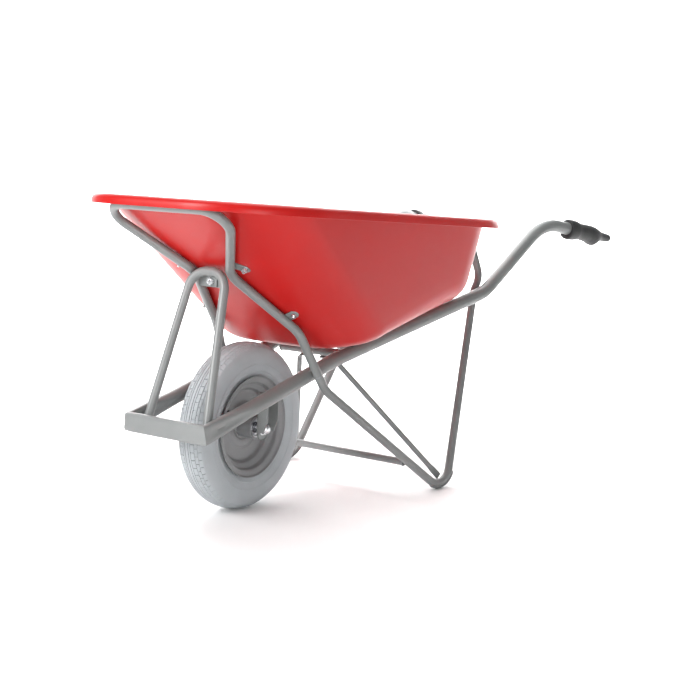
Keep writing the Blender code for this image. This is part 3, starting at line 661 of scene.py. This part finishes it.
# ---------------------------------------------------------------- wheel centre
WHEEL_AT = (AXLE_X, 0, AXLE_Z)
for name, side in SIDES:
    face = [
        (0.0366, 0.1146), (0.0352, 0.1137), (0.0334, 0.1132), (0.0318, 0.1100), (0.0306, 0.1016), (0.0290, 0.0990),
        (0.0200, 0.0978), (0.0182, 0.0960), (0.0150, 0.0868), (0.0128, 0.0842), (0.0045, 0.0815), (0.0029, 0.0780),
        (0.0027, 0.0560), (0.0040, 0.0520), (0.0062, 0.0490), (0.0062, 0.0360), (0.0048, 0.0325), (0.0030, 0.0300), (0.0030, 0.0272),
    ]
    back = [
        (0.0003, 0.0272), (0.0003, 0.0815), (0.0120, 0.0875), (0.0165, 0.1003), (0.0280, 0.1018),
        (0.0296, 0.1120), (0.0335, 0.1154), (0.0366, 0.1158),
    ]
    section = [(side * y, r) for y, r in chaikin(face, 1) + back]
    turned("rim_" + name + "_dish", section, "rim", WHEEL_AT, sides=96, body="wheel", replaces=("rim_" + name,), sharp=50)
    # bead of weld where the dish meets the hub
    centre = Vector((AXLE_X, side * 0.0044, AXLE_Z))
    weld = bead("hub_weld_" + name, ring_points(centre, Vector((0, 1, 0)), 0.0278, 48), 0.0022, True, seed=side)
    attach(weld, "wheel")

turned("hub_barrel", [
    (-0.0460, 0.0228), (-0.0460, 0.0258), (-0.0453, 0.0265), (0.0453, 0.0265), (0.0460, 0.0258), (0.0460, 0.0228),
    (0.0322, 0.0228), (0.0322, 0.0200), (-0.0322, 0.0200), (-0.0322, 0.0228),
], "rim", WHEEL_AT, sides=64, body="wheel", replaces=("hub",))
for name, side in SIDES:
    turned(name + "_bearing_cover", [
        (side * 0.0446, 0.0188), (side * 0.0446, 0.0220), (side * 0.0442, 0.0224), (side * 0.0326, 0.0224), (side * 0.0326, 0.0188),
    ], "steel", WHEEL_AT, body="wheel", replaces=(name + "_bearing_outer",))
    turned(name + "_bearing_race", [
        (side * 0.0446, 0.0084), (side * 0.0446, 0.0118), (side * 0.0326, 0.0118), (side * 0.0326, 0.0084),
    ], "steel", WHEEL_AT, replaces=(name + "_bearing_inner",))
    turned(name + "_spacer_tube", [
        (side * 0.0450, 0.0084), (side * 0.0450, 0.0118), (side * 0.0571, 0.0118), (side * 0.0571, 0.0084),
    ], "zinc", WHEEL_AT, replaces=(name + "_axle_spacer",))
    turned(name + "_flat_washer", [
        (side * 0.0609, 0.0084), (side * 0.0609, 0.0147), (side * 0.0612, 0.0150), (side * 0.0626, 0.0150), (side * 0.0629, 0.0147), (side * 0.0629, 0.0084),
    ], "zinc", WHEEL_AT, replaces=(name + "_axle_washer",))
    turned(name + "_cap_nut", [
        (side * 0.0770, 0.0076), (side * 0.0633, 0.0084), (side * 0.0633, 0.0106), (side * 0.0640, 0.0115, "hex"),
        (side * 0.0706, 0.0115, "hex"), (side * 0.0715, 0.0108), (side * 0.0728, 0.0106), (side * 0.0750, 0.0099),
        (side * 0.0768, 0.0085), (side * 0.0781, 0.0064), (side * 0.0788, 0.0038), (side * 0.0790, 0.0010),
    ], "zinc", WHEEL_AT, sides=72, loop=False, replaces=(name + "_axle_nut",), sharp=25)

VALVE_TURN = math.radians(28)
radial = Vector((math.cos(VALVE_TURN), 0, math.sin(VALVE_TURN)))
valve_at = Vector((AXLE_X, 0, AXLE_Z)) + radial * 0.1010
valve_axis = (Vector((0, 1, 0)) * 0.93 - radial * 0.36).normalized()
turned("valve_rubber", [(0.0040, 0.0034), (0.0200, 0.0034), (0.0220, 0.0031), (0.0310, 0.0030), (0.0325, 0.0027)],
       "rubber", valve_at, valve_axis, sides=32, loop=False, body="wheel", replaces=("valve_stem",))
turned("valve_cap_bright", [
    (0.0332, 0.0024), (0.0332, 0.0040), (0.0336, 0.0042), (0.0396, 0.0042), (0.0406, 0.0037), (0.0412, 0.0024),
], "zinc", valve_at, valve_axis, sides=32, loop=False, body="wheel", replaces=("valve_cap",))


# ---------------------------------------------------------------- brackets
def plate_bm(bm, outline_points, normal, thick):
    lift = Vector(normal).normalized() * thick
    back = [bm.verts.new(Vector(p)) for p in outline_points]
    front = [bm.verts.new(Vector(p) + lift) for p in outline_points]
    skin(bm, [back, front])
    bm.faces.new(back)
    bm.faces.new(front)


def bracket(name, side):
    """A channel pressed from one sheet: the web towards the wheel, two flanges outwards, bends rounded."""
    half, inner, t = 0.0210, 0.0575, 0.0030
    top, bend = 0.2730, 0.0060
    reach = {0.2725: 0.0884, 0.2150: 0.0880, 0.1850: 0.0790, 0.1720: 0.0640}
    levels = [0.2725 - (0.2725 - 0.1640) * k / 30 for k in range(31)]
    keys = sorted(reach)
    rows = []
    for z in levels:
        z1 = max(z, keys[0])
        for a, b in zip(keys, keys[1:]):
            if a <= z1 <= b:
                out = reach[a] + (reach[b] - reach[a]) * smooth_step((z1 - a) / (b - a))
        width = half
        if z < AXLE_Z - 0.006:
            drop = (AXLE_Z - 0.006 - z) / 0.0225
            width = half * math.sqrt(max(0.05, 1 - drop * drop))
            out = min(out, inner + t + 0.002 + 0.004 * (1 - drop))
        section = []
        for sx in (-1, 1):
            leg = [(sx * width, out), (sx * width, inner + bend)]
            arc = [(sx * (width - bend + bend * math.cos(a)), inner + bend - bend * math.sin(a)) for a in (math.radians(q) for q in (22, 45, 68, 90))]
            section.append(leg + arc)
        outer_line = section[0] + section[1][::-1]
        inner_line = []
        for sx in (-1, 1):
            w2 = width - t
            b2 = bend - t
            leg = [(sx * w2, out), (sx * w2, inner + bend)]
            arc = [(sx * (w2 - b2 + b2 * math.cos(a)), inner + bend - b2 * math.sin(a)) for a in (math.radians(q) for q in (22, 45, 68, 90))]
            inner_line.append(leg + arc)
        inner_line = inner_line[0] + inner_line[1][::-1]
        loop = outer_line + inner_line[::-1]
        rows.append([(AXLE_X + x, side * y, z) for x, y in loop])
    bm = bmesh.new()
    rings = [[bm.verts.new(Vector(p)) for p in row] for row in rows]
    skin(bm, rings)
    bm.faces.new(rings[0])
    bm.faces.new(rings[-1])
    return mesh_piece(name + "_axle_channel", bm, "frame", replaces=(name + "_axle_bracket",), sharp=35)


for name, side in SIDES:
    bracket(name, side)

# CAD pieces that keep their own shape
frame_record_slots = {s["node"]: s["material_slot"] for s in frame["record"]["subparts"]}
KEPT = {}
for node, obj in frame["nodes"].items():
    kind = frame_record_slots.get(node, "frame")
    for i in range(len(obj.material_slots)):
        obj.material_slots[i].material = KINDS[kind]
    if not obj.material_slots:
        obj.data.materials.append(KINDS[kind])

# ---------------------------------------------------------------- wear shoes
for name, side in SIDES:
    points = [P(HOOP_KNEE, side), P(FOOT, side), P(LEG_TOP, side)]
    path = bent(points, [0.057], step=4)
    arc = path[4:-3]
    bm = bmesh.new()
    rings = []
    made = frames(arc, Vector((0, 1, 0)))
    for k, (point, across, up) in enumerate(made):
        edge = smooth_step(min(k, len(made) - 1 - k) / 1.5 + 0.2)
        ring = []
        for radius in (HOOP_R + 0.0002, HOOP_R + 0.0002 + 0.0034 * max(0.35, edge)):
            angles = [math.radians(a) for a in range(-62, 63, 12)]
            if radius > HOOP_R + 0.001:
                angles.reverse()
            ring += [bm.verts.new(point + across * radius * math.cos(a) + up * radius * math.sin(a)) for a in angles]
        rings.append(ring)
    skin(bm, rings)
    bm.faces.new(rings[0])
    bm.faces.new(rings[-1])
    mesh_piece(name + "_shoe", bm, "frame", replaces=(name + "_foot_shoe",))

# ---------------------------------------------------------------- grips
GRIP_ROWS = [  # distance along the handle, half height, half width, drop of the centre
    (0.000, 0.0262, 0.0218, 0.0020), (0.002, 0.0272, 0.0228, 0.0018), (0.010, 0.0285, 0.0240, 0.0015), (0.030, 0.0280, 0.0240, 0.0007),
    (0.038, 0.0262, 0.0236, 0.0002), (0.046, 0.0238, 0.0225, 0.0000), (0.070, 0.0233, 0.0222, 0.0000), (0.094, 0.0240, 0.0222, 0.0004),
    (0.112, 0.0262, 0.0225, 0.0022), (0.128, 0.0275, 0.0220, 0.0045), (0.142, 0.0225, 0.0195, 0.0030), (0.156, 0.0155, 0.0150, 0.0000),
    (0.170, 0.0132, 0.0132, -0.0005), (0.190, 0.0122, 0.0122, -0.0005), (0.206, 0.0110, 0.0110, -0.0005), (0.210, 0.0098, 0.0098, -0.0005), (0.212, 0.0074, 0.0074, -0.0005),
]


def grip(name, side):
    bend, end = P(HANDLE_BEND, side), P(HANDLE_END, side)
    t = (end - bend).normalized()
    start = bend + t * ((AXLE_X - 1.0930 - bend.x) / t.x)
    across = t.cross(Vector((0, 0, 1))).normalized()
    up = across.cross(t).normalized()
    depth = (end - start).length + 0.0030
    rows = chaikin(GRIP_ROWS, 2)
    # moulded finger ribs along the body
    fine = []
    for a, b in zip(rows, rows[1:]):
        n = max(1, math.ceil((b[0] - a[0]) / 0.0016))
        fine += [tuple(x + (y - x) * k / n for x, y in zip(a, b)) for k in range(n)]
    fine.append(rows[-1])
    bm = bmesh.new()
    rings = []
    for along, tall, wide, drop in fine:
        rib = 0.0
        if 0.050 < along < 0.108:
            rib = 0.00075 * (0.5 - 0.5 * math.cos(2 * math.pi * (along - 0.050) / 0.0058)) * smooth_step((along - 0.050) / 0.006) * smooth_step((0.108 - along) / 0.006)
        ring = []
        for k in range(40):
            a = 2 * math.pi * k / 40
            c, s = math.cos(a), math.sin(a)
            c2, s2 = math.copysign(abs(c) ** 0.9, c), math.copysign(abs(s) ** 0.9, s)
            inset = rib * (0.35 + 0.65 * abs(s) ** 2)
            ring.append(bm.verts.new(start + t * along - up * drop + across * (wide - inset) * c2 + up * (tall - inset) * s2))
        rings.append(ring)
    r = RAIL_R + 0.0003
    bore = [[bm.verts.new(start + t * along + across * r * math.cos(2 * math.pi * k / 40) + up * r * math.sin(2 * math.pi * k / 40))
             for k in range(40)] for along in (0.0, depth)]
    skin(bm, rings)
    skin(bm, bore)
    skin(bm, [rings[0], bore[0]])
    bm.faces.new(rings[-1])
    bm.faces.new(bore[-1])
    mesh_piece(name + "_handle_grip", bm, "grip", replaces=(name + "_grip",), sharp=50)


for name, side in SIDES:
    grip(name, side)

# ---------------------------------------------------------------- welds
bar_top = Vector((AXLE_X + BAR_CORNER[0], 0, BAR_CORNER[2]))
for name, side in SIDES:
    foot, crown = P(LOOP_FOOT, side), P(LOOP_CROWN, side)
    lean = (crown - foot).normalized()
    bead(name + "_loop_weld", ring_points(foot + lean * 0.003, lean, LOOP_R + 0.0004, 40), 0.0021, True, seed=side * 1.7)
    centre = Vector((AXLE_X - 0.2708, side * 0.0990, 0.3377))
    bead(name + "_under_bar_weld", ring_points(centre - Vector((0, side * 0.002, 0)), Vector((0, 1, 0)), HOOP_R, 36), 0.0018, True, seed=side * 2.3)
    centre = Vector((AXLE_X - 0.3889, side * 0.1958, 0.0760))
    bead(name + "_leg_bar_weld", ring_points(centre - Vector((0, side * 0.0015, 0)), Vector((0, 1, 0)), CROSS_R, 36), 0.0017, True, seed=side * 0.9)
    top = P(LEG_TOP, side)
    up = (top - P(FOOT, side)).normalized()
    bead(name + "_leg_top_weld", ring_points(top, up, HOOP_R - 0.0002, 36), 0.0013, True, seed=side * 1.1)
    j = Vector((joint.x, side * joint.y, joint.z))
    down = (P(HOOP_KNEE, side) - P(HOOP_HIP, side)).normalized()
    bead(name + "_hoop_joint_weld", ring_points(j, down, HOOP_R - 0.0003, 36), 0.0011, True, seed=side * 0.4)
    # along the rail where the hoop passes it, above and below
    slope = (kink - corner).normalized()
    rail_at = P(BAR_CORNER, side) + Vector((slope.x, 0, slope.z)) * ((AXLE_X + BAR_CORNER[0] - joint.x) / -slope.x)
    for level, offset in (("upper", 0.0118), ("lower", -0.0118)):
        start = rail_at + Vector((0.012, side * 0.0122, offset))
        bead(name + "_rail_" + level + "_weld", [start, start + Vector((-0.024, 0, 0.0062))], 0.0022, seed=side + offset * 90)
    # bracket to rail
    for fx in (-0.0195, 0.0195):
        z = 0.2147 + (BAR_CORNER[0] - fx) * 0.2568
        p = Vector((AXLE_X + fx, side * 0.0888, z))
        bead(f"{name}_bracket_weld_{'front' if fx > 0 else 'rear'}",
             [p + Vector((0, 0, -0.0090)), p + Vector((0, -side * 0.0006, 0.0)), p + Vector((0, side * 0.0020, 0.0095))], 0.0020, seed=fx * 70)

# ---------------------------------------------------------------- floor, light and camera
bm = bmesh.new()
size = 14.0
rows = []
for k in range(41):
    s = k / 40
    if s < 0.55:
        rows.append((-size * 0.5 + size * s / 0.55 * 0.75, 0.0))
    else:
        a = (s - 0.55) / 0.45 * math.pi / 2
        rows.append((size * 0.25 + 2.5 * math.sin(a), 2.5 - 2.5 * math.cos(a)))
forward = Vector((-0.826, -0.563, 0)).normalized()
across = Vector((-forward.y, forward.x, 0))
strips = [[bm.verts.new(forward * (d - 1.0) + across * w + Vector((0, 0, z))) for d, z in rows] for w in (-9.0, 9.0)]
top_strip = []
for k in range(len(rows) - 1):
    bm.faces.new((strips[0][k], strips[0][k + 1], strips[1][k + 1], strips[1][k]))
mesh = bpy.data.meshes.new("studio_floor")
bm.to_mesh(mesh)
bm.free()
mesh.shade_smooth()
floor = bpy.data.objects.new("studio_floor", mesh)
bpy.context.scene.collection.objects.link(floor)
mat, nodes, links, bsdf = shader("floor_pale", (0.90, 0.90, 0.90), 0.85)
coords = nodes.new("ShaderNodeTexCoord")
clouds = noise(nodes, links, coords, 1.5)
tone = ramp(nodes, links, clouds.outputs["Fac"], [(0.3, (0.89, 0.89, 0.89)), (0.7, (0.91, 0.91, 0.91))])
links.new(tone.outputs["Color"], bsdf.inputs["Base Color"])
mesh.materials.append(mat)

world = bpy.context.scene.world or bpy.data.worlds.new("World")
bpy.context.scene.world = world
world.use_nodes = True
background = world.node_tree.nodes["Background"]
background.inputs["Color"].default_value = (1.0, 1.0, 1.0, 1)
background.inputs["Strength"].default_value = 0.30


def area(name, at, target, size, power, size_y=None, colour=(1, 1, 1)):
    data = bpy.data.lights.new(name, "AREA")
    data.energy, data.color = power, colour
    data.shape, data.size, data.size_y = "RECTANGLE", size, size_y or size
    obj = bpy.data.objects.new(name, data)
    obj.location = at
    obj.rotation_euler = (Vector(target) - Vector(at)).to_track_quat("-Z", "Y").to_euler()
    bpy.context.scene.collection.objects.link(obj)


area("key_front", (3.0, -0.9, 1.7), (0.3, 0, 0.35), 1.3, 100, 1.6)
area("top_soft", (0.0, -0.2, 3.2), (0, 0, 0.3), 2.4, 52, 2.4)
area("fill_camera", (2.1, 2.0, 0.55), (0.5, 0.05, 0.22), 0.8, 20, 0.6)
area("backdrop_left", (-2.2, -4.2, 3.6), (-5.2, -3.4, 1.4), 3.0, 560, 3.0)
area("backdrop_right", (-4.4, -0.6, 3.6), (-5.6, -3.4, 1.4), 3.0, 560, 3.0)
area("floor_wash", (-2.6, -1.9, 3.4), (-2.6, -1.9, 0.0), 4.0, 230, 4.0)

yaw, pitch, roll = math.radians(214.28294), math.radians(-7.51515), math.radians(2.59070)
fw = Vector((math.cos(yaw) * math.cos(pitch), math.sin(yaw) * math.cos(pitch), math.sin(pitch)))
right = fw.cross(Vector((0, 0, 1))).normalized()
upward = right.cross(fw).normalized()
r2 = right * math.cos(roll) + upward * math.sin(roll)
u2 = upward * math.cos(roll) - right * math.sin(roll)
camera_data = bpy.data.cameras.new("camera")
camera_data.sensor_width = 36.0
camera_data.lens = 1404.9128 * 36.0 / 700.0
camera_data.shift_x = (350.0 - 345.1772) / 700.0
camera_data.shift_y = (348.7071 - 350.0) / 700.0
camera_data.clip_start, camera_data.clip_end = 0.05, 100.0
camera = bpy.data.objects.new("camera", camera_data)
spot = Vector((AXLE_X + 0.95 * 2.585, 0.95 * 2.0507, 0.95 * 0.8276))
camera.matrix_world = Matrix((
    (r2.x, u2.x, -fw.x, spot.x), (r2.y, u2.y, -fw.y, spot.y), (r2.z, u2.z, -fw.z, spot.z), (0, 0, 0, 1)))
bpy.context.scene.collection.objects.link(camera)
bpy.context.scene.camera = camera
bpy.context.scene.view_settings.view_transform = "Standard"
